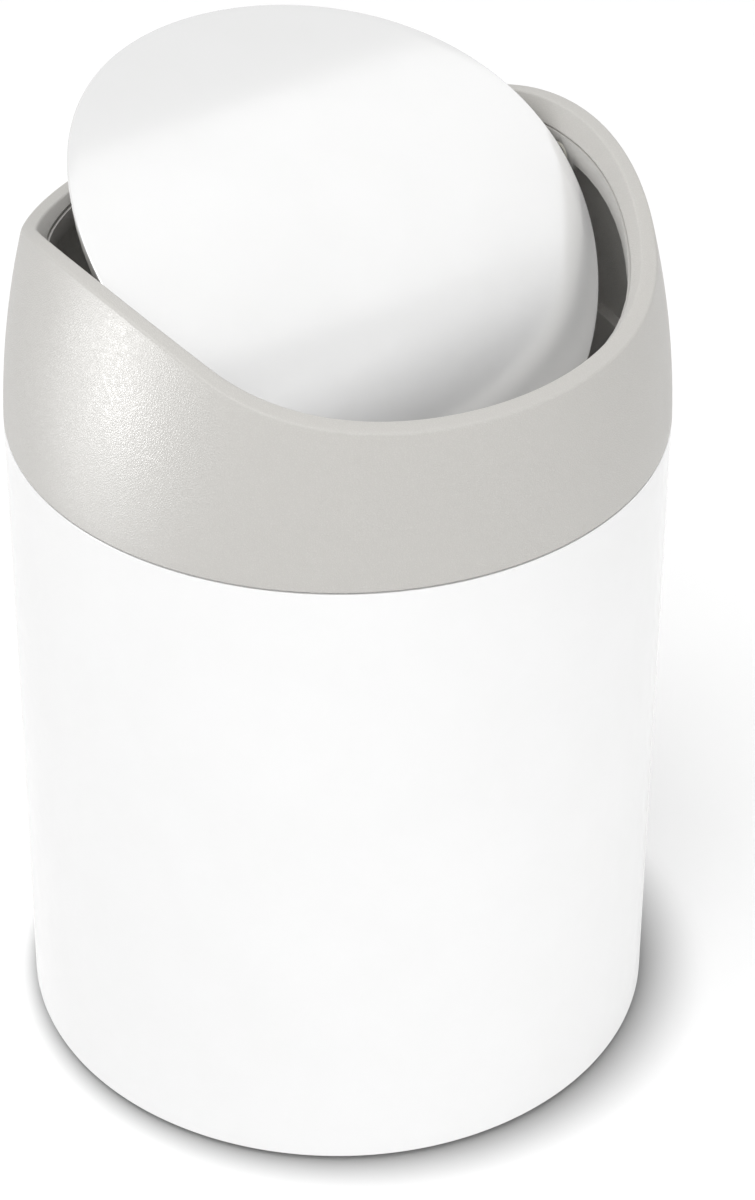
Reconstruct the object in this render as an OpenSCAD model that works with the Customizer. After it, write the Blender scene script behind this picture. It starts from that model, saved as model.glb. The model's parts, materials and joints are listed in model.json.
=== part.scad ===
// Countertop trash can with a swing lid: a steel can, a lift-off collar and a weighted lid.
// Origin at the centre of the floor under the can, +Z up, lid pivot along X, front towards -Y.

/* [Can] */
// Outside diameter of the steel can
can_d = 125; // [115:1:140]
// Height of the can up to its rolled mouth
can_h = 135.3; // [115:0.1:180]
// Thickness of the steel sheet of the can
can_wall = 0.6; // [0.4:0.1:1]
// Radius of the rolled bead at the mouth
mouth_bead_r = 1.2; // [0.9:0.1:1.6]
// Width of the flange turned in at the foot of the can
foot_flange = 2.6; // [2:0.1:4]
// Height of the foot flange above the floor
foot_lift = 0.8; // [0.6:0.1:2]

/* [Base] */
// Height of the raised middle of the base plate above the floor
base_z = 7.4; // [6.8:0.1:12]
// Depth of the step round the middle of the base plate
base_step = 1.8; // [1:0.1:2.5]
// Radius of the raised middle of the base plate
base_middle_r = 44; // [30:1:46]
// Radial width of the foot ring
foot_ring_w = 9.6; // [9:0.1:14]
// Thickness of the foot ring's walls
foot_ring_wall = 1.4; // [1:0.1:1.8]
// Number of ribs inside the foot ring
foot_ribs = 24; // [12:4:36]
// Number of soft pads under the foot ring
pads = 4; // [3:1:8]
// Diameter of a pad
pad_d = 6.4; // [4:0.1:6.6]
// Thickness of a pad
pad_t = 1.2; // [1:0.1:1.5]
// Depth of the recess that holds a pad
pad_recess = 0.7; // [0.4:0.1:0.9]

/* [Collar] */
// Height of the rim above the can's mouth at the two pivots
rim_peak_h = 45.5; // [42:0.1:47]
// How far the rim drops from the pivots to the front and the back
rim_drop = 15.4; // [12:0.1:17]
// Radius of the rounded crown of the rim, seen from the side
rim_crown_r = 63; // [58:1:70]
// Distance from the middle at which the rim runs level
rim_foot_y = 62.5; // [60:0.5:65]
// Straight draft of the collar, per millimetre of height
collar_draft = 0.028; // [0.01:0.002:0.05]
// Extra inward bow of the collar at its full height
collar_bow = 5.6; // [5:0.1:6.2]
// Height over which the collar bows in
collar_bow_h = 43.7; // [42:0.1:48]
// Sharpness of the bow
collar_bow_power = 2; // [1.9:0.1:2.3]
// Thickness of the collar wall
collar_wall = 2.2; // [1.8:0.1:2.4]
// Width of the rim's top at the pivots
rim_side_w = 2.75; // [2.5:0.05:3]
// Width of the rim's top at the front and the back
rim_front_w = 3.6; // [3.2:0.05:3.8]
// Depth of the round on the rim's edges
rim_round = 0.5; // [0.3:0.1:0.6]
// Depth of the sloping lip inside the rim at the pivots
lip_side_depth = 4.4; // [3.8:0.1:4.8]
// Depth of the sloping lip inside the rim at the front and the back
lip_front_depth = 1.2; // [1:0.1:2]
// How far the lip slopes inwards at the pivots
lip_side_lean = 1.8; // [1.4:0.1:2]
// How far the lip slopes inwards at the front and the back
lip_front_lean = 0.4; // [0.2:0.1:0.6]
// How late the opening widens from the pivots to the front
lip_spread = 1.5; // [1.3:0.1:2]
// Width of the lip's flat underside
lip_wall = 1.8; // [1.4:0.1:1.9]
// Rise of the lip's underside to the wall at the pivots
lip_side_rise = 1.6; // [1:0.1:2]
// Rise of the lip's underside to the wall at the front and the back
lip_front_rise = 0.4; // [0.3:0.1:0.8]
// How far the collar's skirt plugs into the can
skirt_depth = 13; // [8:0.5:20]
// Thickness of the skirt
skirt_wall = 1.8; // [1.4:0.1:2.2]
// Height of the lead-in at the bottom of the skirt
skirt_lead = 1; // [0.6:0.1:2]
// Number of grip ribs on the skirt
grip_ribs = 12; // [6:1:24]
// Width of a grip rib
grip_rib_w = 1.6; // [1:0.1:3]

/* [Pivot ring] */
// Depth of the ring's band under the lip
ring_depth = 4.1; // [3.6:0.1:6]
// Thickness of the ring's wall
ring_wall = 2; // [1.6:0.1:2.2]
// Width of the ear that hangs from the band at each pivot
ear_w = 8.6; // [8:0.1:10]
// Angle between neighbouring locating lugs, from the front and the back
lug_turn = 50; // [40:1:55]
// Width of each locating lug
lug_w = 9; // [5:0.5:12]
// Height of each locating lug
lug_h = 2.2; // [1.6:0.1:2.6]
// Depth of the lugs under the top of the band
lug_drop = 0.6; // [0.4:0.1:1]

/* [Pivot] */
// Depth of the pivot axis below the peak of the rim
pivot_depth = 8.8; // [8.6:0.1:9.5]
// Diameter of a pivot pin
pin_d = 3.2; // [2.6:0.1:3.4]
// Running clearance round a pin, on the radius
pin_clear = 0.05; // [0.02:0.01:0.09]
// Outside diameter of a pivot bush
bush_d = 4.8; // [4.6:0.1:5]
// Diameter of the round boss that holds a bush
boss_d = 6.6; // [6.4:0.1:6.8]
// Length of the round boss that holds a bush
boss_l = 2.8; // [2.2:0.1:2.9]
// Length of a pivot pin inside the lid liner
pin_grip = 9; // [5:0.5:14]
// Thickness of the liner behind the blind end of a pin
pin_wall = 2; // [1.5:0.1:4]

/* [Lid] */
// Gap between the lid and the opening at the pivots
lid_side_gap = 1.2; // [0.8:0.1:2.5]
// Gap between the level lid and the opening at the front and the back
lid_end_gap = 0.9; // [0.8:0.1:2.5]
// Bending radius of the lid sheet
lid_bend_r = 130; // [110:1:180]
// Height of the top of the lid above the pivot axis
lid_rise = 3.3; // [3:0.1:4]
// Thickness of the lid sheet
lid_t = 0.6; // [0.5:0.1:0.9]
// Tilt of the lid as it is shown, from level
lid_tilt = 32.5; // [0:0.5:55]

/* [Lid liner] */
// How far the liner's edge stands in from the sheet's edge
liner_inset = 1.6; // [1:0.1:4]
// Thickness of the liner's plate
liner_t = 1.4; // [1:0.1:2]
// Depth of the liner's edge wall and ribs
liner_depth = 4.4; // [3:0.1:5.5]
// Thickness of the edge wall
liner_wall = 1.6; // [1:0.1:2.4]
// Thickness of a rib
rib_t = 1.2; // [0.8:0.1:1.6]
// Distance between ribs
rib_pitch = 16; // [12:0.5:20]
// Number of ribs to each side of the middle
rib_count = 2; // [1:1:2]

/* [Weight and fixings] */
// Length of the counterweight
weight_l = 56; // [40:1:60]
// Width of the counterweight
weight_w = 12; // [8:0.5:16]
// Thickness of the counterweight
weight_t = 4; // [3:0.1:5]
// Distance between the two counterweight screws
screw_span = 40; // [24:1:46]
// Diameter of a counterweight screw
screw_d = 3; // [2.5:0.1:3.5]
// Diameter of a screw head
screw_head_d = 5.6; // [5:0.1:6.4]
// Height of a screw head
screw_head_h = 1.6; // [1.2:0.1:2.2]
// Length of a screw in the liner
screw_bite = 3.4; // [3:0.1:4]
// Wall of the posts round the screws
post_wall = 2; // [1.5:0.1:3]
// Diameter of a weld stud under the sheet
stud_d = 2.4; // [2:0.1:3]
// Length of a weld stud
stud_l = 4.6; // [3.6:0.1:6]
// Diameter of a push-on clip
clip_d = 7; // [5:0.5:9]
// Thickness of a push-on clip
clip_t = 0.6; // [0.4:0.1:1]

/* [Hidden] */
$fn = 96;
// Gap between pieces that sit loosely on each other
seat = 0.3;
// Gap round a piece that is pressed or screwed into place
snug = 0.05;
// Gap between a piece and what passes close to it
loose = 0.2;
// Overlap of the cutting and joining shapes of one piece
nick = 0.1;
// How far a cut runs past the face it leaves by
past = 1;

can_r = can_d / 2;
can_in_r = can_r - can_wall;
mouth_r = can_r - 2 * mouth_bead_r;
seam_z = can_h + seat;
peak_z = can_h + rim_peak_h;
low_z = peak_z - rim_drop;
ring_drop = seat + ring_depth;
skirt_r = mouth_r - seat;
skirt_z = seam_z - skirt_depth;
pivot_z = peak_z - pivot_depth;
foot_flange_top = foot_lift + can_wall;
plate_skirt_r = can_in_r - snug;
plate_z = base_z - base_step;
ring_foot_r = can_r - foot_flange - seat;
foot_ring_z = pad_t - pad_recess;
foot_ring_top = plate_z - can_wall - seat;
pad_circle_r = ring_foot_r - foot_ring_w / 2;
sheet_in_r = lid_bend_r - lid_t;
liner_out_r = sheet_in_r - snug;
liner_in_r = sheet_in_r - liner_t;
liner_low_r = sheet_in_r - liner_depth;
// The studs stand in the middle of the cells between the ribs
stud_out = 1.5 * rib_pitch;
bend_centre = lid_rise - lid_bend_r;
weight_top = -boss_d / 2 - loose;
lip_side_r = collar_r(peak_z) - rim_side_w - lip_side_lean;
lip_front_r = collar_r(low_z) - rim_front_w - lip_front_lean;
boss_end = lip_side_r + boss_l;
lid_half_w = lip_side_r - lid_side_gap;
lid_half_l = lip_front_r - lid_end_gap;
liner_half_w = lid_half_w - liner_inset;
pin_start = liner_half_w - pin_grip;

// Steps round the collar and round the lid's outline
around = 72;
// Steps up the collar's outside and inside
outside_steps = 10;
inside_steps = 4;

// Radius of the collar's outside at a height
function collar_r(z) = can_r - collar_draft * (z - seam_z)
    - collar_bow * pow(max(0, z - seam_z) / collar_bow_h, collar_bow_power);

// Side view of the rim: a round crown that turns smoothly into a level foot
function bell_angle(peak, low) = 2 * atan((peak - low) / rim_foot_y);
function hollow_r(peak, low) = rim_foot_y / sin(bell_angle(peak, low)) - rim_crown_r;
function bell_z(y, peak, low) =
    let (a = abs(y), h = hollow_r(peak, low))
    a < rim_crown_r * sin(bell_angle(peak, low))
        ? peak - rim_crown_r + sqrt(rim_crown_r * rim_crown_r - a * a)
        : a < rim_foot_y
            ? low + h - sqrt(h * h - pow(rim_foot_y - a, 2))
            : low;

// Height of the rim at an angle, where the bell meets the bowed outside
function rim_z(a, r = can_r - 5, tries = 9) =
    tries == 0
        ? bell_z(r * sin(a), peak_z, low_z)
        : rim_z(a, collar_r(bell_z(r * sin(a), peak_z, low_z)), tries - 1);

// A value that runs from the pivots to the front and the back, early or late
function side_to_front(a, side, front, late) = side + (front - side) * pow(abs(sin(a)), late);

function rim_in_r(a) = collar_r(rim_z(a)) - side_to_front(a, rim_side_w, rim_front_w, 4);
function lip_r(a) = side_to_front(a, lip_side_r, lip_front_r, lip_spread);
function lip_z(a) = bell_z(lip_r(a) * sin(a), peak_z, low_z)
    - side_to_front(a, lip_side_depth, lip_front_depth, 2);

// Section of the collar at an angle, as radius and height, up the outside and down the inside
function collar_section(a) =
    let (
        top = rim_z(a),
        r_top = collar_r(top),
        shoulder = top - rim_round,
        in_r = rim_in_r(a),
        in_top = bell_z(in_r * sin(a), peak_z, low_z),
        lip_in = lip_r(a),
        lip_bottom = lip_z(a),
        roof = lip_bottom + side_to_front(a, lip_side_rise, lip_front_rise, 2),
        ledge = seam_z + skirt_wall,
        skirt_in_r = skirt_r - skirt_wall
    )
    concat(
        [[skirt_r, skirt_z + skirt_lead], [skirt_r, seam_z]],
        [for (i = [0:outside_steps])
            let (z = seam_z + (shoulder - seam_z) * i / outside_steps)
            [collar_r(z), z]],
        [
            [r_top - rim_round, top],
            [in_r + rim_round, in_top],
            [in_r, in_top - rim_round],
            [lip_in, lip_bottom],
            [lip_in + lip_wall, lip_bottom]
        ],
        [for (i = [0:inside_steps])
            let (z = roof + (ledge - roof) * i / inside_steps)
            [collar_r(z) - collar_wall, z]],
        [[skirt_in_r, ledge], [skirt_in_r, skirt_z], [skirt_r - skirt_lead / 2, skirt_z]]
    );

// Solid of a closed section that changes as it goes once round
module swept_ring(sections) {
    rows = len(sections);
    cols = len(sections[0]);
    points = [for (i = [0:rows - 1]) for (p = sections[i])
        [p[0] * cos(360 * i / rows), p[0] * sin(360 * i / rows), p[1]]];
    faces = [for (i = [0:rows - 1]) for (j = [0:cols - 1])
        let (
            n = (i + 1) % rows,
            k = (j + 1) % cols,
            a = i * cols + j,
            b = n * cols + j,
            c = n * cols + k,
            d = i * cols + k
        )
        each [[a, d, c], [a, c, b]]];
    polyhedron(points, faces);
}

// Everything under the lip's lower edge, less a drop, seen from the side
module under_lip(drop) {
    steps = 60;
    side = [for (i = [0:steps])
        let (a = 90 - 180 * i / steps)
        [lip_r(a) * sin(a), lip_z(a) - drop]];
    foot_z = lip_z(90) - drop;
    rotate([90, 0, 90])
        linear_extrude(2 * can_d, center = true)
            polygon(concat(
                [[-can_d, 0], [can_d, 0], [can_d, foot_z]],
                side,
                [[-can_d, foot_z]]));
}

// Plan outline of the opening, with an allowance to the outside
function opening_outline(extra) = [for (i = [0:around - 1])
    let (a = 360 * i / around)
    (lip_r(a) + extra) * [cos(a), sin(a)]];

// Ellipse, with an allowance to the inside
function lid_outline(inset) = [for (i = [0:around - 1])
    let (a = 360 * i / around)
    [(lid_half_w - inset) * cos(a), (lid_half_l - inset) * sin(a)]];

// Round bar along X, from one distance to another
module bar_x(d, x0, x1) {
    translate([x0, 0, 0])
        rotate([0, 90, 0])
            cylinder(d = d, h = x1 - x0);
}

// Puts a child at the pivot, turned as the lid is
module on_lid() {
    translate([0, 0, pivot_z])
        rotate([lid_tilt, 0, 0])
            children();
}

// Space between two bending radii of the lid, inside its outline
module lid_layer(r_out, r_in, inset) {
    intersection() {
        translate([0, 0, bend_centre])
            rotate([0, 90, 0])
                difference() {
                    cylinder(r = r_out, h = 2 * can_r, center = true);
                    cylinder(r = r_in, h = 2 * can_r + 2 * past, center = true);
                }
        lid_prism(inset);
    }
}

// Upright prism of the lid's outline, taller than the bent lid
module lid_prism(inset) {
    translate([0, 0, -lid_half_l / 2])
        linear_extrude(lid_half_l)
            polygon(lid_outline(inset));
}

module can_shell() {
    color("white")
        rotate_extrude() {
            translate([can_in_r, foot_lift])
                square([can_wall, can_h - mouth_bead_r - foot_lift]);
            translate([can_r - foot_flange, foot_lift])
                square([foot_flange, can_wall]);
            translate([can_r - mouth_bead_r, can_h - mouth_bead_r])
                circle(r = mouth_bead_r, $fn = 48);
        }
}

module base_plate() {
    slope_end_r = base_middle_r + base_step;
    color("silver")
        rotate_extrude()
            polygon([
                [0, base_z],
                [base_middle_r, base_z],
                [slope_end_r, plate_z],
                [plate_skirt_r, plate_z],
                [plate_skirt_r, foot_flange_top + snug],
                [plate_skirt_r - can_wall, foot_flange_top + snug],
                [plate_skirt_r - can_wall, plate_z - can_wall],
                [slope_end_r - can_wall / 2, plate_z - can_wall],
                [base_middle_r - can_wall / 2, base_z - can_wall],
                [0, base_z - can_wall]
            ]);
}

module foot_ring() {
    inner_r = ring_foot_r - foot_ring_w;
    web_top = foot_ring_z + foot_ring_wall;
    color("dimgray")
        difference() {
            union() {
                rotate_extrude() {
                    translate([inner_r, foot_ring_z])
                        square([foot_ring_w, foot_ring_wall]);
                    translate([inner_r, foot_ring_z])
                        square([foot_ring_wall, foot_ring_top - foot_ring_z]);
                    translate([ring_foot_r - foot_ring_wall, foot_ring_z])
                        square([foot_ring_wall, foot_ring_top - foot_ring_z]);
                }
                for (i = [0:foot_ribs - 1])
                    rotate(360 * (i + 0.5) / foot_ribs)
                        translate([inner_r + foot_ring_wall / 2, -rib_t / 2, web_top - nick])
                            cube([foot_ring_w - foot_ring_wall, rib_t, foot_ring_top - web_top]);
            }
            for (i = [0:pads - 1])
                rotate(360 * i / pads + 45)
                    translate([pad_circle_r, 0, foot_ring_z - nick])
                        cylinder(d = pad_d + 2 * snug, h = pad_recess + nick);
        }
}

module foot_pads() {
    color("gray")
        for (i = [0:pads - 1])
            rotate(360 * i / pads + 45)
                translate([pad_circle_r, 0, 0])
                    cylinder(d = pad_d, h = pad_t);
}

module collar_shell() {
    color("lightgray") {
        swept_ring([for (i = [0:around - 1]) collar_section(360 * i / around)]);
        grip_ribs();
    }
}

// Ribs on the skirt that touch the can's mouth
module grip_ribs() {
    rib_in_r = skirt_r - skirt_wall / 2;
    rib_z = skirt_z + 2 * skirt_lead;
    for (i = [0:grip_ribs - 1])
        rotate(360 * (i + 0.5) / grip_ribs)
            translate([rib_in_r, -grip_rib_w / 2, rib_z])
                cube([mouth_r - snug - rib_in_r, grip_rib_w, seam_z - seat - rib_z]);
}

module pivot_ring() {
    color("darkgray")
        difference() {
            intersection() {
                union() {
                    difference() {
                        ring_prism();
                        under_lip(ring_drop);
                    }
                    intersection() {
                        ring_prism();
                        at_pivots()
                            ring_ear();
                    }
                    at_pivots()
                        bar_x(boss_d, lip_side_r + nick, boss_end);
                    ring_lugs();
                }
                under_lip(seat);
            }
            at_pivots()
                bar_x(bush_d + 2 * snug, lip_side_r - past, boss_end + past);
        }
}

// Upright tube with the plan of the opening
module ring_prism() {
    translate([0, 0, seam_z])
        linear_extrude(rim_peak_h)
            difference() {
                polygon(opening_outline(ring_wall));
                polygon(opening_outline(0));
            }
}

// Rounded ear that carries a boss below the band
module ring_ear() {
    start = lip_side_r - past;
    bar_x(ear_w, start, boss_end);
    translate([start, -ear_w / 2, 0])
        cube([boss_end - start, ear_w, lip_z(0) - seat - lug_drop - pivot_z]);
}

// Puts a child at the pivot on the right, and its mirror image on the left
module at_pivots() {
    translate([0, 0, pivot_z])
        for (s = [0, 1])
            mirror([s, 0, 0])
                children();
}

// Lugs that centre the ring in the collar
module ring_lugs() {
    for (side = [-90, 90])
        for (turn = [-lug_turn, 0, lug_turn]) {
            a = side + turn;
            lug_top = lip_z(a) - seat - lug_drop;
            start = lip_r(a) + ring_wall / 2;
            reach = collar_r(lug_top) - collar_wall - seat;
            rotate(a)
                translate([start, -lug_w / 2, lug_top - lug_h])
                    cube([sqrt(reach * reach - lug_w * lug_w / 4) - start, lug_w, lug_h]);
        }
}

module pivot_bush() {
    difference() {
        bar_x(bush_d, lip_side_r, boss_end);
        bar_x(pin_d + 2 * pin_clear, lip_side_r - past, boss_end + past);
    }
}

module pivot_bush_right() {
    color("ivory")
        translate([0, 0, pivot_z])
            pivot_bush();
}

module pivot_bush_left() {
    color("ivory")
        translate([0, 0, pivot_z])
            mirror([1, 0, 0])
                pivot_bush();
}

module pivot_pin() {
    bar_x(pin_d, pin_start, boss_end - snug);
}

module pivot_pin_right() {
    color("silver")
        on_lid()
            pivot_pin();
}

module pivot_pin_left() {
    color("silver")
        on_lid()
            mirror([1, 0, 0])
                pivot_pin();
}

module lid_skin() {
    color("white")
        on_lid()
            lid_layer(lid_bend_r, sheet_in_r, 0);
}

module lid_liner() {
    color("gainsboro")
        on_lid()
            difference() {
                union() {
                    lid_layer(liner_out_r, liner_in_r, liner_inset);
                    difference() {
                        lid_layer(liner_out_r, liner_low_r, liner_inset);
                        lid_prism(liner_inset + liner_wall);
                    }
                    intersection() {
                        lid_layer(liner_out_r, liner_low_r, liner_inset + liner_wall / 2);
                        liner_ribs();
                    }
                    intersection() {
                        lid_layer(liner_out_r, sheet_in_r - 2 * boss_d, liner_inset);
                        union() {
                            for (s = [0, 1])
                                mirror([s, 0, 0])
                                    pin_block();
                            screw_posts();
                        }
                    }
                }
                for (s = [0, 1])
                    mirror([s, 0, 0])
                        bar_x(pin_d + 2 * snug, pin_start, liner_half_w + past);
                for (x = [-screw_span / 2, screw_span / 2])
                    translate([x, 0, weight_top - past])
                        cylinder(d = screw_d + 2 * snug, h = screw_bite + 2 * past);
                at_studs()
                    translate([0, 0, -2 * stud_l])
                        cylinder(d = stud_d + 2 * snug, h = 3 * stud_l);
            }
}

// Block round a pivot pin
module pin_block() {
    start = pin_start - pin_wall;
    bar_x(boss_d, start, liner_half_w);
    translate([start, -boss_d / 2, 0])
        cube([liner_half_w - start, boss_d, lid_rise]);
}

// Upright plates that stiffen the liner both ways
module liner_ribs() {
    for (i = [-rib_count:rib_count]) {
        translate([i * rib_pitch, 0, 0])
            cube([rib_t, 2 * lid_half_l, lid_half_l], center = true);
        translate([0, i * rib_pitch, 0])
            cube([2 * lid_half_w, rib_t, lid_half_l], center = true);
    }
}

// Posts that the counterweight is screwed to
module screw_posts() {
    for (x = [-screw_span / 2, screw_span / 2])
        translate([x, 0, weight_top])
            cylinder(d = screw_d + 2 * post_wall, h = lid_rise - weight_top);
}

// Places a child at each stud, square to the bent sheet
module at_studs() {
    for (x = [-stud_out, stud_out])
        for (y = [-stud_out, stud_out])
            translate([x, 0, bend_centre])
                rotate([-asin(y / sheet_in_r), 0, 0])
                    translate([0, 0, sheet_in_r])
                        children();
}

module skin_studs() {
    color("silver")
        on_lid()
            at_studs()
                translate([0, 0, -stud_l])
                    cylinder(d = stud_d, h = stud_l);
}

module stud_clips() {
    color("silver")
        on_lid()
            at_studs()
                translate([0, 0, -liner_t - clip_t - snug])
                    difference() {
                        cylinder(d = clip_d, h = clip_t);
                        translate([0, 0, -past])
                            cylinder(d = stud_d + 2 * snug, h = clip_t + 2 * past);
                    }
}

module counterweight() {
    color("slategray")
        on_lid()
            translate([0, 0, weight_top - weight_t])
                linear_extrude(weight_t)
                    difference() {
                        union() {
                            square([weight_l - weight_w, weight_w], center = true);
                            for (s = [-1, 1])
                                translate([s * (weight_l - weight_w) / 2, 0])
                                    circle(d = weight_w);
                        }
                        for (s = [-1, 1])
                            translate([s * screw_span / 2, 0])
                                circle(d = screw_d + 2 * snug);
                    }
}

module weight_screws() {
    color("silver")
        on_lid()
            for (s = [-1, 1])
                translate([s * screw_span / 2, 0, weight_top - weight_t - screw_head_h]) {
                    cylinder(d = screw_head_d, h = screw_head_h);
                    cylinder(d = screw_d, h = screw_head_h + weight_t + screw_bite);
                }
}

can_shell();
base_plate();
foot_ring();
foot_pads();
collar_shell();
pivot_ring();
pivot_bush_left();
pivot_bush_right();
pivot_pin_left();
pivot_pin_right();
lid_skin();
lid_liner();
skin_studs();
stud_clips();
counterweight();
weight_screws();
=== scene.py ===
# %% [markdown]
# # A countertop can with a swing lid
#
# The can stands free on a white floor. A grey collar sits on a white steel can, and a white sheet-steel
# lid hangs in the collar on two pins. This notebook dresses the pieces one at a time: each cell first
# says what the real piece is, then how it could be made, and then makes it.
#
# The frame comes first. It holds every construction piece at its real size, in metres, with +Z up and
# the lid's pivot along X. Nothing in it is moved: pieces are built around it, and ride on its bodies.

# %% Load the frame
import json
import math
import bmesh
import bpy
from mathutils import Matrix, Vector


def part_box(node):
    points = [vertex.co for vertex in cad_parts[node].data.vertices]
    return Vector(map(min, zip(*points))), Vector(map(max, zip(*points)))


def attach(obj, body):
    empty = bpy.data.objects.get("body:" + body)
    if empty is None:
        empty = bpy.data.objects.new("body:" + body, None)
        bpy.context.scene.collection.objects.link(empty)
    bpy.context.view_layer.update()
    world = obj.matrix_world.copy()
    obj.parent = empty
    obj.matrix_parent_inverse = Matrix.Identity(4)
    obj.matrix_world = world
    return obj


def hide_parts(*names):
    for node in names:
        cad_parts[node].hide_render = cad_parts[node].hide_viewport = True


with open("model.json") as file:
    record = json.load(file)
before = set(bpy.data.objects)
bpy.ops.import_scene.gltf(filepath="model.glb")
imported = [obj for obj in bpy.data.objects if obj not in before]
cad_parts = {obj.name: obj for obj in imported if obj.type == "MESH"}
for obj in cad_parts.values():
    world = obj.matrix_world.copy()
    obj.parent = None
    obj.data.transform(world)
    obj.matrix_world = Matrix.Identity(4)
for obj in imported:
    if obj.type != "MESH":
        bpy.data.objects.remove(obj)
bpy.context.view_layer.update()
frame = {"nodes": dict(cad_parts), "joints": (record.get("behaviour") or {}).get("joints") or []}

# %% [markdown]
# The sizes that the new pieces share are read from the frame where it has them, so that a piece can't
# drift away from what carries it. The few that a box can't tell, such as a bending radius, are named
# here in millimetres and turned into metres once.

# %% Sizes shared by the pieces
MM = 0.001
can_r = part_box("can_shell")[1].x
can_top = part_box("can_shell")[1].z
can_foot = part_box("can_shell")[0].z
can_bead = 2.4 * MM
seam_gap = 0.3 * MM
seam_z = can_top + seam_gap
rim_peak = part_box("collar_shell")[1].z
rim_drop = 15.4 * MM
rim_low = rim_peak - rim_drop
rim_crown = 63 * MM
rim_foot = 62.5 * MM
swing = next(j for j in frame["joints"] if j["name"] == "lid_swing")
pivot = Vector(swing["pos_m"])
lid_tilt = math.radians(32.5)
lid_half_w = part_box("lid_skin")[1].x
lid_half_l = 54.17 * MM
lid_rise = 3.3 * MM
lid_bend = 130 * MM
lid_t = 0.6 * MM
print("can radius", round(can_r / MM, 1), "rim from", round(rim_low / MM, 1), "to", round(rim_peak / MM, 1))

# %% [markdown]
# The camera stands where the photographer stood: above and in front, with a long lens that keeps the
# walls of the can almost parallel. The picture's centre line isn't the can's, so the lens is shifted
# a little sideways instead of turning the camera, which would lean the can over.

# %% Camera
camera_azimuth = math.radians(-34.8)
camera_pitch = math.radians(35.614)
camera_back = 602.4 * MM
camera_height = 521 * MM
camera_data = bpy.data.cameras.new("portrait_camera")
camera_data.lens = 114.36
camera_data.sensor_width = 36
camera_data.shift_x = 0.03315
camera = bpy.data.objects.new("portrait_camera", camera_data)
camera.location = Matrix.Rotation(camera_azimuth, 3, "Z") @ Vector((0, -camera_back, camera_height))
camera.rotation_euler = (math.pi / 2 - camera_pitch, 0, camera_azimuth)
bpy.context.scene.collection.objects.link(camera)
bpy.context.scene.camera = camera
print("camera at, mm:", [round(v / MM) for v in camera.location])

# %% [markdown]
# Three small helpers serve the whole object. `settle` turns a bmesh into a finished object: it marks
# edges that turn sharply, shades the rest smooth, gives the finish and lets the piece ride on its body.
# `fillet` rounds the corners of a section, because no pressed or moulded edge is truly sharp. `lathe`
# spins a section round the can's axis, which is how a round tube or ring is drawn fastest.

# %% Helpers that finish, round and spin
def settle(bm, name, body, finish, node, sharp=40):
    """Object from a bmesh, with its faces outwards, riding on its body in place of its node."""
    bmesh.ops.recalc_face_normals(bm, faces=bm.faces)
    for face in bm.faces:
        face.smooth = True
    for edge in bm.edges:
        edge.smooth = len(edge.link_faces) == 2 and edge.calc_face_angle(0) < math.radians(sharp)
    mesh = bpy.data.meshes.new(name)
    bm.to_mesh(mesh)
    bm.free()
    piece = bpy.data.objects.new(name, mesh)
    bpy.context.scene.collection.objects.link(piece)
    mesh.materials.append(finish)
    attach(piece, body)
    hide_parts(node)
    print(name, "has", len(mesh.polygons), "faces")


def fillet(corners, steps):
    """Section of (radius, height) points, from corners that each name the radius of their round."""
    points = []
    for i, (x, z, round_r) in enumerate(corners):
        here = Vector((x, z))
        if round_r == 0:
            points.append(here)
            continue
        before = Vector(corners[i - 1][:2]) - here
        after = Vector(corners[(i + 1) % len(corners)][:2]) - here
        half = before.angle(after) / 2
        reach = min(round_r / math.tan(half), 0.49 * before.length, 0.49 * after.length)
        radius = reach * math.tan(half)
        start = here + before.normalized() * reach
        stop = here + after.normalized() * reach
        centre = here + (before.normalized() + after.normalized()).normalized() * radius / math.sin(half)
        for k in range(steps + 1):
            arm = (start - centre).lerp(stop - centre, k / steps)
            points.append(centre + arm.normalized() * radius)
    return points


def lathe(points, steps):
    """Closed section spun all the way round Z."""
    bm = bmesh.new()
    verts = [bm.verts.new((p[0], 0, p[1])) for p in points]
    edges = [bm.edges.new((verts[i - 1], verts[i])) for i in range(len(verts))]
    bmesh.ops.spin(
        bm, geom=verts + edges, cent=(0, 0, 0), axis=(0, 0, 1), angle=math.tau, steps=steps, use_merge=True)
    bmesh.ops.remove_doubles(bm, verts=bm.verts, dist=1e-7)
    return bm


print("helpers ready")

# %% [markdown]
# Some shapes go round the axis but change as they go, such as the rim of the collar, which dips at the
# front and the back. For those a circle of vertices is extruded once for every point of the section,
# and each new loop is put where the section says for its angle. The last loop is bridged to the first,
# or both ends are filled when the shape is a disc.

# %% Helper that sweeps a changing section
def sweep(place, count, steps, closed=True):
    """Loops of vertices, loop k at place(angle, k), joined into a ring or a closed disc."""
    bm = bmesh.new()
    loop = bmesh.ops.create_circle(bm, segments=steps, radius=1)["verts"]
    angles = [math.tau * i / steps for i in range(steps)]
    ends = []
    for k in range(count):
        for vert, angle in zip(loop, angles):
            vert.co = place(angle, k)
        edges = [bm.edges.get((loop[i - 1], loop[i])) for i in range(steps)]
        if k in (0, count - 1):
            ends.append(edges)
        if k == count - 1:
            break
        made = bmesh.ops.extrude_edge_only(bm, edges=edges)["geom"]
        fresh = {v for v in made if isinstance(v, bmesh.types.BMVert)}
        loop = [next(e.other_vert(v) for e in v.link_edges if e.other_vert(v) in fresh) for v in loop]
    if closed:
        bmesh.ops.bridge_loops(bm, edges=ends[0] + ends[1])
    else:
        for edges in ends:
            cap = bmesh.ops.edgeloop_fill(bm, edges=edges)["faces"]
            bmesh.ops.poke(bm, faces=cap)
    return bm


print("sweep ready")

# %% [markdown]
# Hidden and half hidden pieces keep the frame's own shape, but a sharp machine edge would give them
# away. `soften` takes a copy of such a piece, merges its loose triangles, dissolves the flat ones into
# whole faces and bevels only the edges that turn sharply.

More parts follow.
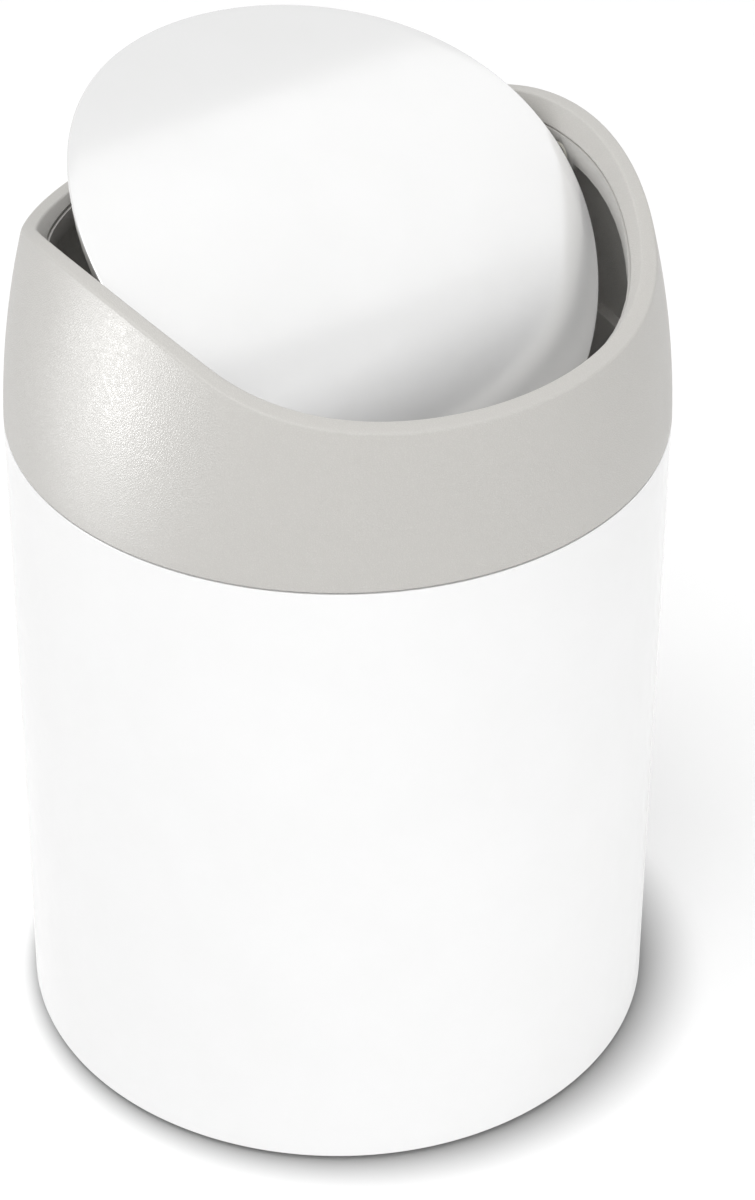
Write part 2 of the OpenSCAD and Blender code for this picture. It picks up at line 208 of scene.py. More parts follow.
# %% Helper that softens a construction piece
def soften(node, name, body, finish, width):
    """Copy of a construction piece with its sharp edges bevelled, standing for that piece."""
    bm = bmesh.new()
    bm.from_mesh(frame["nodes"][node].data)
    bmesh.ops.remove_doubles(bm, verts=bm.verts, dist=2e-6)
    bmesh.ops.dissolve_limit(bm, angle_limit=math.radians(0.5), verts=bm.verts, edges=bm.edges)
    bmesh.ops.recalc_face_normals(bm, faces=bm.faces)
    sharp = [e for e in bm.edges if len(e.link_faces) == 2 and e.calc_face_angle(0) > math.radians(35)]
    bmesh.ops.bevel(
        bm, geom=sharp, offset=width, offset_type="OFFSET", affect="EDGES", segments=2,
        profile=0.5, material=-1, clamp_overlap=True)
    settle(bm, name, body, finish, node, sharp=30)


print("soften ready")

# %% [markdown]
# Effects that several finishes share are node groups, so that one change reaches them all. Each takes
# the piece's own Object coordinates, which are metres, and works in millimetres inside.
#
# The mould grain is what a moulder etches into the steel: fine shallow cells on wider, softer hills. The
# handling group is the faint uneven gloss that hands and cloths leave. The peel group is the soft ripple
# of baked paint on sheet steel.

# %% Shared effects as node groups
def new_group(name, inputs, outputs):
    """Shader node group with named sockets, and its two end nodes."""
    tree = bpy.data.node_groups.new(name, "ShaderNodeTree")
    for label, value in inputs:
        tree.interface.new_socket(label, in_out="INPUT", socket_type="NodeSocketFloat").default_value = value
    for label in outputs:
        tree.interface.new_socket(label, in_out="OUTPUT", socket_type="NodeSocketFloat")
    return tree, tree.nodes.new("NodeGroupInput"), tree.nodes.new("NodeGroupOutput")


def millimetres(tree):
    """Object coordinates of the piece, in millimetres."""
    coordinates = tree.nodes.new("ShaderNodeTexCoord")
    scaled = tree.nodes.new("ShaderNodeVectorMath")
    scaled.operation = "SCALE"
    scaled.inputs["Scale"].default_value = 1 / MM
    tree.links.new(coordinates.outputs["Object"], scaled.inputs[0])
    return scaled.outputs[0]


def noise(tree, vector, scale, detail, roughness=0.5):
    """Noise of a given scale, in turns per millimetre."""
    node = tree.nodes.new("ShaderNodeTexNoise")
    node.inputs["Scale"].default_value = scale
    node.inputs["Detail"].default_value = detail
    node.inputs["Roughness"].default_value = roughness
    tree.links.new(vector, node.inputs["Vector"])
    return node.outputs["Fac"]


def blend_value(tree, value, low=0.0, high=1.0, start=0.0, end=1.0):
    """Value that runs from low to high, each a socket or a number, while another goes from start to end."""
    node = tree.nodes.new("ShaderNodeMapRange")
    node.inputs["From Min"].default_value = start
    node.inputs["From Max"].default_value = end
    tree.links.new(value, node.inputs["Value"])
    for socket, goal in (("To Min", low), ("To Max", high)):
        if isinstance(goal, float):
            node.inputs[socket].default_value = goal
        else:
            tree.links.new(goal, node.inputs[socket])
    return node.outputs["Result"]


def mould_grain_group():
    tree, start, stop = new_group("mould_grain", [("Cells per mm", 2.4), ("Hills", 0.2)], ["Height", "Pits"])
    vector = millimetres(tree)
    cells = tree.nodes.new("ShaderNodeTexVoronoi")
    cells.feature = "DISTANCE_TO_EDGE"
    tree.links.new(vector, cells.inputs["Vector"])
    tree.links.new(start.outputs["Cells per mm"], cells.inputs["Scale"])
    bowl = blend_value(tree, cells.outputs["Distance"], end=0.28)
    hills = noise(tree, vector, 1.1, detail=3.0)
    lifted = tree.nodes.new("ShaderNodeMath")
    lifted.operation = "MULTIPLY_ADD"
    tree.links.new(hills, lifted.inputs[0])
    tree.links.new(start.outputs["Hills"], lifted.inputs[1])
    tree.links.new(bowl, lifted.inputs[2])
    tree.links.new(lifted.outputs[0], stop.inputs["Height"])
    tree.links.new(bowl, stop.inputs["Pits"])
    return tree


def handling_group():
    tree, start, stop = new_group("handling", [("Gloss", 0.12), ("Dull", 0.2)], ["Roughness", "Patches"])
    clouds = noise(tree, millimetres(tree), 0.045, detail=4.0, roughness=0.6)
    patches = blend_value(tree, clouds, start=0.35, end=0.7)
    tree.links.new(blend_value(tree, patches, start.outputs["Gloss"], start.outputs["Dull"]),
                   stop.inputs["Roughness"])
    tree.links.new(patches, stop.inputs["Patches"])
    return tree


def paint_peel_group():
    tree, start, stop = new_group("paint_peel", [("Ripples per mm", 0.35)], ["Height"])
    node = tree.nodes.new("ShaderNodeTexNoise")
    node.inputs["Detail"].default_value = 1.5
    tree.links.new(millimetres(tree), node.inputs["Vector"])
    tree.links.new(start.outputs["Ripples per mm"], node.inputs["Scale"])
    tree.links.new(node.outputs["Fac"], stop.inputs["Height"])
    return tree


grain_group = mould_grain_group()
handling = handling_group()
peel_group = paint_peel_group()
print("groups:", [g.name for g in bpy.data.node_groups])

# %% [markdown]
# A finish is a Principled shader with its constants set on its own sockets, and the shared groups
# feeding only what changes over the surface: colour, roughness and the height of a Bump node.

# %% Helper that starts a finish
def new_finish(name, roughness, metallic=0.0):
    """Material with a Principled shader, its tree and the shader."""
    finish = bpy.data.materials.new(name)
    finish.use_nodes = True
    tree = finish.node_tree
    shader = tree.nodes["Principled BSDF"]
    shader.inputs["Roughness"].default_value = roughness
    shader.inputs["Metallic"].default_value = metallic
    shader.inputs["IOR"].default_value = 1.5
    return finish, tree, shader


def use_group(tree, group, **values):
    """Group node in a material, with its inputs set by name."""
    node = tree.nodes.new("ShaderNodeGroup")
    node.node_tree = group
    for label, value in values.items():
        node.inputs[label.replace("_", " ")].default_value = value
    return node


def two_tone(tree, shader, mask, first, second):
    """Base colour that runs from one colour to another with a mask."""
    mix = tree.nodes.new("ShaderNodeMix")
    mix.data_type = "RGBA"
    mix.inputs["A"].default_value = (*first, 1)
    mix.inputs["B"].default_value = (*second, 1)
    tree.links.new(mask, mix.inputs["Factor"])
    tree.links.new(mix.outputs["Result"], shader.inputs["Base Color"])


def raise_by(tree, shader, height, distance):
    """Bump of a real height in metres."""
    bump = tree.nodes.new("ShaderNodeBump")
    bump.inputs["Distance"].default_value = distance
    tree.links.new(height, bump.inputs["Height"])
    tree.links.new(bump.outputs["Normal"], shader.inputs["Normal"])


print("finish helpers ready")

# %% [markdown]
# The can and the lid are sheet steel under baked white enamel: a smooth, hard, glossy coat. Its white
# is a shade warmer where the coat lies thicker, and its gloss is a little uneven from being wiped. The
# lid mirrors the room more strongly than the can does, so its enamel takes half of a metal's shine.

# %% White enamel
def enamel_finish(name, gloss, dull, metallic=0.0):
    finish, tree, shader = new_finish(name, gloss, metallic)
    marks = use_group(tree, handling, Gloss=gloss, Dull=dull)
    tree.links.new(marks.outputs["Roughness"], shader.inputs["Roughness"])
    two_tone(tree, shader, marks.outputs["Patches"], (0.90, 0.90, 0.90), (0.885, 0.885, 0.883))
    peel = use_group(tree, peel_group, Ripples_per_mm=0.3)
    raise_by(tree, shader, peel.outputs["Height"], 0.012 * MM)
    return finish


can_enamel = enamel_finish("can_enamel", 0.16, 0.22)
lid_enamel = enamel_finish("lid_enamel", 0.16, 0.21, metallic=0.5)
print("enamel ready")

# %% [markdown]
# The collar is moulded in a warm light grey plastic with a fine leather-like grain. The grain is what
# softens its shine, so it is a true bump with pits a few hundredths of a millimetre deep, and the
# bottoms of the pits are a touch darker than the worn tops.

# %% Moulded plastics
def moulded_finish(name, tops, pits, roughness, depth, cells=2.4):
    finish, tree, shader = new_finish(name, roughness)
    marks = use_group(tree, handling, Gloss=roughness - 0.04, Dull=roughness + 0.05)
    tree.links.new(marks.outputs["Roughness"], shader.inputs["Roughness"])
    grain = use_group(tree, grain_group, Cells_per_mm=cells)
    two_tone(tree, shader, grain.outputs["Pits"], pits, tops)
    raise_by(tree, shader, grain.outputs["Height"], depth)
    return finish


collar_plastic = moulded_finish(
    "collar_plastic", (0.557, 0.545, 0.520), (0.525, 0.513, 0.489), 0.43, 0.024 * MM)
# The pivot ring's grey is darker than the collar's: partly its own plastic, partly painted shade for the
# shade it lies in under the lip.
ring_plastic_and_shade = moulded_finish(
    "ring_plastic_and_shade", (0.47, 0.462, 0.441), (0.455, 0.446, 0.427), 0.42, 0.012 * MM, cells=4)
liner_plastic = moulded_finish(
    "liner_plastic", (0.58, 0.57, 0.545), (0.55, 0.54, 0.515), 0.45, 0.02 * MM, cells=3)
foot_plastic = moulded_finish(
    "foot_plastic", (0.045, 0.045, 0.046), (0.035, 0.035, 0.036), 0.5, 0.03 * MM, cells=3)
pad_rubber = moulded_finish(
    "pad_rubber", (0.13, 0.13, 0.13), (0.10, 0.10, 0.10), 0.75, 0.03 * MM, cells=5)
bush_acetal = moulded_finish(
    "bush_acetal", (0.72, 0.70, 0.62), (0.70, 0.68, 0.60), 0.3, 0.006 * MM, cells=4)
print("plastics ready")

# %% [markdown]
# The small metal pieces are zinc plated, which is bright but milky, with a fine drawn texture. The
# counterweight is a sawn bar with a dark phosphate coat, duller and blotchy.

# %% Metals
def metal_finish(name, light, dark, gloss, dull, depth):
    finish, tree, shader = new_finish(name, gloss, metallic=1.0)
    marks = use_group(tree, handling, Gloss=gloss, Dull=dull)
    tree.links.new(marks.outputs["Roughness"], shader.inputs["Roughness"])
    two_tone(tree, shader, marks.outputs["Patches"], light, dark)
    raise_by(tree, shader, noise(tree, millimetres(tree), 3.0, detail=4.0), depth)
    return finish


zinc = metal_finish("zinc_plate", (0.70, 0.70, 0.71), (0.60, 0.60, 0.62), 0.25, 0.42, 0.008 * MM)
phosphate = metal_finish("phosphate_bar", (0.13, 0.13, 0.135), (0.09, 0.09, 0.09), 0.45, 0.65, 0.02 * MM)
print("metals ready")

# %% [markdown]
# The can is a tube of thin sheet. Its mouth is rolled inwards into a bead, pressed flat on the outside so
# that the wall runs straight up to the collar, and its foot turns in under the base. The whole section
# is one closed outline of thin wall, so spinning it once gives the outside, the inside, the bead and
# the foot together.

# %% Can
def can_section():
    wall = 0.6 * MM
    flange = 2.6 * MM
    inner = can_r - wall
    bead_in = can_r - can_bead
    bead_low = can_top - can_bead
    return fillet([
        (can_r - flange, can_foot, 0.1 * MM),
        (can_r, can_foot, 0.7 * MM),
        (can_r, can_top, 0.15 * MM),
        (bead_in, can_top, 1.1 * MM),
        (bead_in, bead_low, 1.1 * MM),
        (inner, bead_low, 0.2 * MM),
        (inner, can_foot + wall, 0.3 * MM),
        (can_r - flange, can_foot + wall, 0.1 * MM),
    ], steps=8)


settle(lathe(can_section(), 240), "can_tube", "can", can_enamel, "can_shell")

# %% [markdown]
# The collar's outside bows inwards as it rises, and its rim is cut by a bell-shaped curve that runs
# from side to side, so it peaks at the two pivots and dips at the front and the back. Where the bell
# meets the bow has to be found for every angle, by trying a radius, reading the height there, and
# using the radius at that height for the next try. A dozen tries are more than enough.

# %% Rim curve of the collar
bow_height = 43.7 * MM
bow_depth = 5.6 * MM
draft = 0.028
rim_tries = 12


def collar_r(z):
    """Radius of the collar's outside at a height."""
    rise = max(0.0, z - seam_z)
    return can_r - draft * rise - bow_depth * (rise / bow_height) ** 2


def bell(y, peak, low):
    """Height of the bell-shaped side view at a distance from the middle."""
    turn = 2 * math.atan((peak - low) / rim_foot)
    hollow = rim_foot / math.sin(turn) - rim_crown
    y = abs(y)
    if y < rim_crown * math.sin(turn):
        return peak - rim_crown + math.sqrt(rim_crown ** 2 - y * y)
    return low + hollow - math.sqrt(hollow ** 2 - (rim_foot - min(y, rim_foot)) ** 2)


def rim_at(angle):
    """Radius and height of the rim's outer edge at an angle."""
    r = can_r
    for _ in range(rim_tries):
        z = bell(r * math.sin(angle), rim_peak, rim_low)
        r = collar_r(z)
    return r, z


def side_to_front(angle, side, front, late=2.0):
    """Value that runs from the pivots to the front and the back, early or late."""
    return side + (front - side) * abs(math.sin(angle)) ** late


print("rim at the pivots, mm:", [round(v / MM, 1) for v in rim_at(0)])

# %% [markdown]
# The collar ends in a flat rim a few millimetres wide. Inside the rim a lip slopes down and in by about
# 20 degrees, which leads things into the can. It is three times as deep by the pivots as at the front
# and the back. Below, a skirt plugs into the can's mouth, with a lead-in at its foot and twelve low
# upright ribs that grip the bead. Sizes that differ between the pivots and the front are named in pairs.

# %% Sizes of the collar
collar_wall = 2.2 * MM
collar_edge_z = seam_z + 0.1 * MM
rim_side_w, rim_front_w = 2.75 * MM, 3.6 * MM
rim_round_room = 1.6 * MM
lip_side_depth, lip_front_depth = 4.6 * MM, 1.4 * MM
lip_side_t, lip_front_t = 1.8 * MM, 0.6 * MM
lip_flat = 1.8 * MM
opening_side = collar_r(rim_peak) - 4.55 * MM
opening_front = collar_r(rim_low) - 4.0 * MM
skirt_r = can_r - can_bead - seam_gap
skirt_z = seam_z - 13 * MM
skirt_in_r = skirt_r - 1.8 * MM
skirt_lead_w, skirt_lead_h = 0.6 * MM, 1 * MM
ledge_z = seam_z + 1.8 * MM
grip_ribs = 12
grip_rib_h = 0.25 * MM
grip_rib_share = 0.06
grip_rib_low, grip_rib_full = skirt_z + 1.9 * MM, skirt_z + 2.3 * MM
print("opening, mm:", round(2 * opening_side / MM, 1), "wide and", round(2 * opening_front / MM, 1), "long")

# %% [markdown]
# Three helpers say how the collar changes on its way round: where the lip's lower edge is, where a grip
# rib stands out from the skirt, and how the bowed wall climbs, outside and inside.

# %% Lip, grip ribs and bowed wall
def lip_at(angle):
    """Radius and height of the lip's lower edge at an angle."""
    r = side_to_front(angle, opening_side, opening_front, late=1.5)
    top = bell(r * math.sin(angle), rim_peak, rim_low)
    return r, top - side_to_front(angle, lip_side_depth, lip_front_depth)


def rib_r_at(angle):
    """Radius of the skirt's outside at an angle, where a grip rib may stand."""
    from_rib = (angle * grip_ribs / math.tau) % 1 - 0.5
    return skirt_r + (grip_rib_h if abs(from_rib) < grip_rib_share / 2 else 0.0)


def bowed_wall(low, high, steps, inset=0.0):
    """Corners without a round that follow the bowed outside, or the inside of its wall."""
    heights = [low + (high - low) * k / steps for k in range(steps + 1)]
    return [(collar_r(height) - inset, height, 0) for height in heights]


print("lip at the pivots, mm:", [round(v / MM, 1) for v in lip_at(0)])

# %% [markdown]
# The section goes up the skirt, out to the can's radius, up the bowed outside, over the flat rim, down
# the lip, and back along the inside of the wall. Both edges of the rim are rounded: that round is what
# draws the thin bright line along it. The section is worked out anew for every angle and then swept.

# %% Collar
def collar_section(angle):
    r, z = rim_at(angle)
    r_in = r - side_to_front(angle, rim_side_w, rim_front_w, late=4)
    z_in = bell(r_in * math.sin(angle), rim_peak, rim_low)
    r_lip, z_lip = lip_at(angle)
    roof = z_lip + side_to_front(angle, lip_side_t, lip_front_t)
    rib_r = rib_r_at(angle)
    skirt = [
        (skirt_r - skirt_lead_w, skirt_z, 0.2 * MM),
        (skirt_r, skirt_z + skirt_lead_h, 0.3 * MM),
        (skirt_r, grip_rib_low, 0),
        (rib_r, grip_rib_full, 0),
        (rib_r, collar_edge_z, 0.1 * MM),
        (can_r, collar_edge_z, 0.08 * MM),
    ]
    rim = [
        (r, z, 0.7 * MM),
        (r_in, z_in, 0.6 * MM),
        (r_lip, z_lip, 0.35 * MM),
        (r_lip + lip_flat, z_lip, 0.3 * MM),
    ]
    inside = [(skirt_in_r, ledge_z, 0.2 * MM), (skirt_in_r, skirt_z, 0.3 * MM)]
    outer = bowed_wall(collar_edge_z, z - rim_round_room, steps=13)[1:]
    inner = bowed_wall(roof, ledge_z, steps=4, inset=collar_wall)
    return fillet(skirt + outer + rim + inner + inside, steps=5)


def swept_ring(section, steps):
    """Ring from a section that is worked out once for every angle."""
    angles = [math.tau * i / steps for i in range(steps)]
    stations = {a: section(a) for a in angles}

    def place(angle, k):
        point = stations[angle][k]
        return (point[0] * math.cos(angle), point[0] * math.sin(angle), point[1])

    return sweep(place, len(stations[0.0]), steps)


settle(
    swept_ring(collar_section, 480), "collar", "collar", collar_plastic, "collar_shell")

# %% [markdown]
# Just inside the lip sits a smoother ring with the two pivot seats. Only its upper band shows, as a
# darker step under the lip. Its shape was worked out exactly in the frame, so here it only gets its
# soft edges, and a plain plastic that sets it off from the grained collar. That plastic is darker than the
# collar's, partly its own grey and partly painted shade for the shade under the lip.

# %% Pivot ring
soften("pivot_ring", "pivot_band", "collar", ring_plastic_and_shade, width=0.15 * MM)

# %% [markdown]
# The lid is one sheet of steel, bent to a single gentle curve, with an elliptical outline. It is drawn
# level as loops from the middle of its top out to the edge, over the rounded edge and back to the
# middle underneath. The loops stand closer together towards the edge, where the outline is longest.
# Then the whole sheet is turned and lifted to its place on the pivot.

# %% Lid sheet
lid_rings = 18
lid_edge_steps = 8
lid_edge_r = 0.26 * MM


def bent(y, radius):
    """Height of the bent sheet above the pivot, at a distance across it."""
    return lid_rise - lid_bend + math.sqrt(radius * radius - y * y)


def lid_stations():
    """Steps over the sheet: share of the outline, distance in from the edge, depth in the sheet."""
    top = [(math.sqrt((k + 0.4) / lid_rings), 0.0, 0.0) for k in range(lid_rings - 1)]
    over = []
    for k in range(lid_edge_steps + 1):
        turn = math.pi * k / lid_edge_steps
        over.append((1.0, lid_edge_r * (1 - math.sin(turn)), (1 - math.cos(turn)) / 2))
    under = [(share, 0.0, 1.0) for share, _, _ in reversed(top)]
    return top + over + under


def lid_bm():
    stations = lid_stations()

    def place(angle, k):
        share, inset, depth = stations[k]
        x = (lid_half_w * share - inset) * math.cos(angle)
        y = (lid_half_l * share - inset) * math.sin(angle)
        upper = bent(y, lid_bend)
        lower = bent(y, lid_bend - lid_t)
        return (x, y, upper + (lower - upper) * depth)

    return sweep(place, len(stations), 200, closed=False)


def put_on_pivot(bm):
    """Turns a level lid piece to the lid's tilt and lifts it to the pivot."""
    bmesh.ops.rotate(bm, verts=bm.verts, cent=(0, 0, 0), matrix=Matrix.Rotation(lid_tilt, 3, "X"))
    bmesh.ops.translate(bm, verts=bm.verts, vec=pivot)
    return bm


settle(put_on_pivot(lid_bm()), "lid_sheet", "lid", lid_enamel, "lid_skin")

# %% [markdown]
# Under the sheet hangs a ribbed liner with the pin blocks and the screw posts. It and the other small
# pieces keep the construction's own shape, softened along every sharp edge.

# %% Liner and small pieces
soften("lid_liner", "liner", "lid", liner_plastic, width=0.25 * MM)
soften("base_plate", "base_dish", "can", zinc, width=0.15 * MM)
soften("foot_ring", "foot", "can", foot_plastic, width=0.2 * MM)
soften("foot_pads", "pads", "can", pad_rubber, width=0.2 * MM)
soften("counterweight", "weight_bar", "lid", phosphate, width=0.3 * MM)
for side in ("left", "right"):
    soften(f"pivot_pin_{side}", f"pin_{side}", "lid", zinc, width=0.2 * MM)
    soften(f"pivot_bush_{side}", f"bush_{side}", "collar", bush_acetal, width=0.1 * MM)
soften("skin_studs", "studs", "lid", zinc, width=0.15 * MM)
soften("stud_clips", "clips", "lid", zinc, width=0.1 * MM)

# %% [markdown]
# Two pan-head screws hold the counterweight, and their heads show when the lid swings open. A head is a
# domed disc, so it is drawn as loops from the middle of its crown. The thread is a stack of small
# ridges, which at this size looks the same as a true helix.

# %% Outline of a screw
screw_r = 1.5 * MM
screw_core_r = 0.8 * screw_r
screw_point_r = 0.6 * screw_r
thread_pitch = 0.8 * MM
shank_l = 7.4 * MM
head_r = 2.8 * MM
head_h = 1.6 * MM
head_brim = 0.4 * MM
head_seat = -7.5 * MM
pole_r = 0.15 * MM


def screw_stations():
    """Radius and height of each loop, from the crown of the head to the tip."""
    dome = head_h - head_brim
    point = head_seat + shank_l
    loops = [(pole_r, head_seat - head_h)]
    for k in range(2, 11):
        turn = math.radians(9 * k)
        loops.append((head_r * math.sin(turn) ** 0.7, head_seat - head_brim - dome * math.cos(turn)))
    loops += [(head_r, head_seat - 0.05 * MM), (head_r - 0.05 * MM, head_seat), (screw_core_r, head_seat)]
    for k in range(int(shank_l / thread_pitch)):
        z = head_seat + k * thread_pitch
        loops += [(screw_core_r, z + 0.2 * MM), (screw_r, z + 0.42 * MM), (screw_core_r, z + 0.64 * MM)]
    return loops + [(screw_point_r, point - 0.1 * MM), (pole_r, point)]


print("screw has", len(screw_stations()), "loops")

# %% [markdown]
# For the cross recess the crown of the head is cut along both sides and both ends of each arm, so that
# the faces inside the cross can be pushed in without touching the others.

# %% Cross recess
arm_w, arm_l, recess = 0.4 * MM, 1.5 * MM, 0.8 * MM


def crown_faces(bm):
    """Faces on the outer half of the head."""
    return [f for f in bm.faces if f.calc_center_median().z < head_seat - head_h / 2]


def in_cross(face):
    """Whether a face lies inside the cross recess."""
    middle = face.calc_center_median()
    near, far = sorted((abs(middle.x), abs(middle.y)))
    return near < arm_w and far < arm_l


def cut_cross(bm):
    """Cuts the crown along every side of the cross, and pushes the faces inside it in."""
    for edge in (arm_w, arm_l):
        for way in (Vector((1, 0, 0)), Vector((-1, 0, 0)), Vector((0, 1, 0)), Vector((0, -1, 0))):
            crown = crown_faces(bm)
            edges = {e for f in crown for e in f.edges}
            verts = {v for f in crown for v in f.verts}
            bmesh.ops.bisect_plane(
                bm, geom=crown + list(edges) + list(verts), dist=1e-7, plane_co=way * edge, plane_no=way)
    cross = [f for f in crown_faces(bm) if in_cross(f)]
    bmesh.ops.inset_region(bm, faces=cross, thickness=0.08 * MM, depth=-recess, use_even_offset=True)


print("recess ready")

# %% [markdown]
# One screw is made and its mesh is copied, so both are the same. They stand at equal distances from the
# middle of the lid, and are turned with it.

# %% Screws of the counterweight
screw_out = 20 * MM


def screws_bm():
    stations = screw_stations()

    def place(angle, k):
        r, z = stations[k]
        return (r * math.cos(angle), r * math.sin(angle), z)

    bm = sweep(place, len(stations), 48, closed=False)
    cut_cross(bm)
    bmesh.ops.translate(bm, verts=bm.verts, vec=(-screw_out, 0, 0))
    second = bmesh.ops.duplicate(bm, geom=bm.verts[:] + bm.edges[:] + bm.faces[:])["geom"]
    second_verts = [v for v in second if isinstance(v, bmesh.types.BMVert)]
    bmesh.ops.translate(bm, verts=second_verts, vec=(2 * screw_out, 0, 0))
    return bm


settle(put_on_pivot(screws_bm()), "bar_screws", "lid", zinc, "weight_screws", sharp=30)

# %% [markdown]
# A white can on a white floor lights its own shadow away, so a soft shade is painted into the floor. It
# starts at the foot and fades out at a larger circle that is set off to the right, away from the key
# lamp. The shader works in millimetres, so the circles are written in them too.

# %% Shade round the foot
shade_foot_r, shade_end_r, shade_tail = 61, 72, 1.6
shade_mid = Matrix.Rotation(camera_azimuth, 3, "Z") @ Vector((5.5, -2.5, 0))


def distance_from(tree, middle):
    """Distance in millimetres from a point on the floor."""
    node = tree.nodes.new("ShaderNodeVectorMath")
    node.operation = "DISTANCE"
    node.inputs[1].default_value = middle
    tree.links.new(millimetres(tree), node.inputs[0])
    return node.outputs["Value"]


def reckon(tree, operation, first, second):
    """One sum on two sockets or numbers."""
    node = tree.nodes.new("ShaderNodeMath")
    node.operation = operation
    for socket, value in zip(node.inputs, (first, second)):
        if isinstance(value, (int, float)):
            socket.default_value = value
        else:
            tree.links.new(value, socket)
    return node.outputs[0]


def shade_fade(tree):
    """Share of the painted shade at a point: 1 at the foot, 0 from the larger circle on."""
    past_foot = reckon(tree, "SUBTRACT", distance_from(tree, (0, 0, 0)), shade_foot_r)
    before_end = reckon(tree, "SUBTRACT", shade_end_r, distance_from(tree, shade_mid))
    past_foot = reckon(tree, "MAXIMUM", past_foot, 0.0)
    before_end = reckon(tree, "MAXIMUM", before_end, 0.0)
    fade = reckon(tree, "DIVIDE", before_end, reckon(tree, "ADD", past_foot, before_end))
    return reckon(tree, "POWER", fade, shade_tail)


print("shade from", shade_foot_r, "to", shade_end_r, "mm")

# %% [markdown]
# The floor is a wide white sheet, so that the shadow under the can is all that tells where it stands.
# Outside the shade the camera and the glossy pieces see a little white of the sheet's own, which lifts it
# to the white of the background without more light on the can.

# %% Floor
floor_r = 6
floor_lift = 0.16
floor_white, shade_grey = (0.88, 0.88, 0.88), (0.26, 0.26, 0.26)


def floor_finish():
    finish, tree, shader = new_finish("white_floor", 0.9)
    shader.inputs["Specular IOR Level"].default_value = 0.0
    path = tree.nodes.new("ShaderNodeLightPath")
    shade = reckon(tree, "MULTIPLY", shade_fade(tree), path.outputs["Is Camera Ray"])
    two_tone(tree, shader, shade, floor_white, shade_grey)
    seen = reckon(tree, "MAXIMUM", path.outputs["Is Camera Ray"], path.outputs["Is Glossy Ray"])
    open_floor = reckon(tree, "SUBTRACT", seen, shade)
    shader.inputs["Emission Color"].default_value = (1, 1, 1, 1)
    tree.links.new(reckon(tree, "MULTIPLY", open_floor, floor_lift), shader.inputs["Emission Strength"])
    return finish


def stage_sheet(bm, name, finish):
    """Object from a bmesh that belongs to the stage and not to the can."""
    mesh = bpy.data.meshes.new(name)
    bm.to_mesh(mesh)
    bm.free()
    sheet = bpy.data.objects.new(name, mesh)
    bpy.context.scene.collection.objects.link(sheet)
    mesh.materials.append(finish)
    return sheet


floor_bm = bmesh.new()
bmesh.ops.create_circle(floor_bm, cap_ends=True, segments=96, radius=floor_r)
stage_sheet(floor_bm, "floor", floor_finish())
print("floor radius, m:", floor_r)

# %% [markdown]
# The can stands in a white room. Most of its light comes evenly from all round, which is what a world of
# one plain colour gives. It is kept a little under full white, because the lamps add to it.

# %% Light of the room
room_strength = 0.72
world = bpy.data.worlds.new("white_room")
bpy.context.scene.world = world
world.use_nodes = True
sky = world.node_tree.nodes["Background"]
sky.inputs["Color"].default_value = (1, 1, 1, 1)
sky.inputs["Strength"].default_value = room_strength
print("room light:", room_strength)

# %% [markdown]
# Soft lamps each add a little. One fills from the front, and one low on the right lights the upright
# walls without washing out the floor. The key, high on the left, throws the faint shadow to the right. A
# weak one behind gives the lid its sheen. The last is small and low on the left. It is left out of the
# plain light and only shows as a shine, which draws the bright patch on the collar's left side.
#
# A lamp's light thins out with the square of its distance, so its power is worked out here from the
# brightness that it should give.

# %% Soft lamps
aim = Vector((0, 0, 110 * MM))


def stand_off(azimuth, elevation, distance):
    """Place and turn for a thing that faces the can. Azimuth 0 is the camera's side, + is to its right."""
    turn = math.radians(azimuth) + camera_azimuth
    lift = math.radians(elevation)
    away = Vector((math.sin(turn) * math.cos(lift), -math.cos(turn) * math.cos(lift), math.sin(lift)))
    return aim + away * distance, (-away).to_track_quat("-Z", "Y")


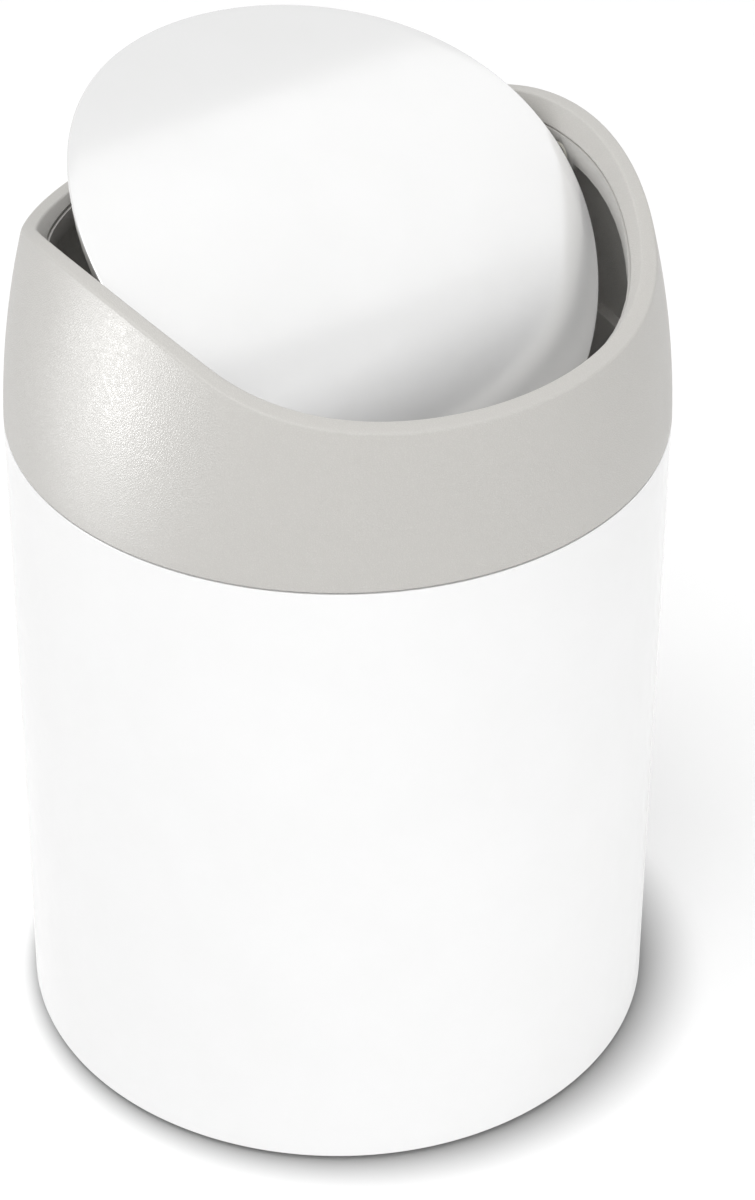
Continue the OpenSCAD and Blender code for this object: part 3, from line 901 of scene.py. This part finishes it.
def soft_lamp(name, azimuth, elevation, distance, size, share, shine_only=False):
    """Rectangular soft lamp that gives a share of full white on a surface that faces it."""
    data = bpy.data.lights.new(name, "AREA")
    data.shape = "RECTANGLE"
    data.size, data.size_y = size
    data.energy = share * (math.pi * distance) ** 2
    lamp = bpy.data.objects.new(name, data)
    lamp.location, turn = stand_off(azimuth, elevation, distance)
    lamp.rotation_mode = "QUATERNION"
    lamp.rotation_quaternion = turn
    lamp.visible_diffuse = not shine_only
    bpy.context.scene.collection.objects.link(lamp)


soft_lamp("front_fill", -8, 40, 1.2, (0.6, 0.6), 0.175)
soft_lamp("fill_right", 60, 10, 1.0, (0.5, 0.4), 0.15)
soft_lamp("key_left", -50, 68, 1.1, (0.6, 0.6), 0.32)
soft_lamp("lid_sheen", 118, 62, 1.1, (0.8, 0.8), 0.05)
soft_lamp("shine_strip", -76, -3, 0.55, (0.12, 0.16), 1.15, shine_only=True)

# %% [markdown]
# A glossy lid shows what it mirrors. Its lowered front end turns towards the right, where an upright
# card stands just past the edge of the picture: white at its top, black lower down, with a soft grade
# between. That is what makes the end of the lid so much darker. The card is hidden from the camera, so
# that it doesn't stand in the way in the views from the right, and the lid still mirrors it. Its heights
# are in millimetres, as the shader reads them.

# %% Graded card
card_azimuth = math.radians(72)
card_w, card_out = 420 * MM, 450 * MM
card_low, card_black, card_white, card_high = 260, 455, 610, 650


def card_bm():
    """Upright sheet that faces the can, from the card's lower to its upper height."""
    bm = bmesh.new()
    height = (card_high - card_low) * MM
    middle = (card_high + card_low) / 2 * MM
    upright = Matrix.Rotation(card_azimuth + camera_azimuth, 4, "Z") @ Matrix.Rotation(math.pi / 2, 4, "X")
    place = Matrix.Translation(upright @ Vector((0, middle, card_out))) @ upright
    bmesh.ops.create_grid(bm, x_segments=1, y_segments=1, size=0.5)
    bmesh.ops.scale(bm, verts=bm.verts, vec=(card_w, height, 1))
    bmesh.ops.transform(bm, verts=bm.verts, matrix=place)
    return bm


def card_finish():
    finish, tree, shader = new_finish("card_grey", 0.9)
    parts = tree.nodes.new("ShaderNodeSeparateXYZ")
    tree.links.new(millimetres(tree), parts.inputs[0])
    grade = blend_value(tree, parts.outputs["Z"], start=card_black, end=card_white)
    two_tone(tree, shader, grade, (0.02, 0.02, 0.02), (0.9, 0.9, 0.9))
    return finish


stage_sheet(card_bm(), "graded_card", card_finish()).visible_camera = False
bpy.context.scene.view_settings.view_transform = "Standard"
print("card from", card_low, "to", card_high, "mm")
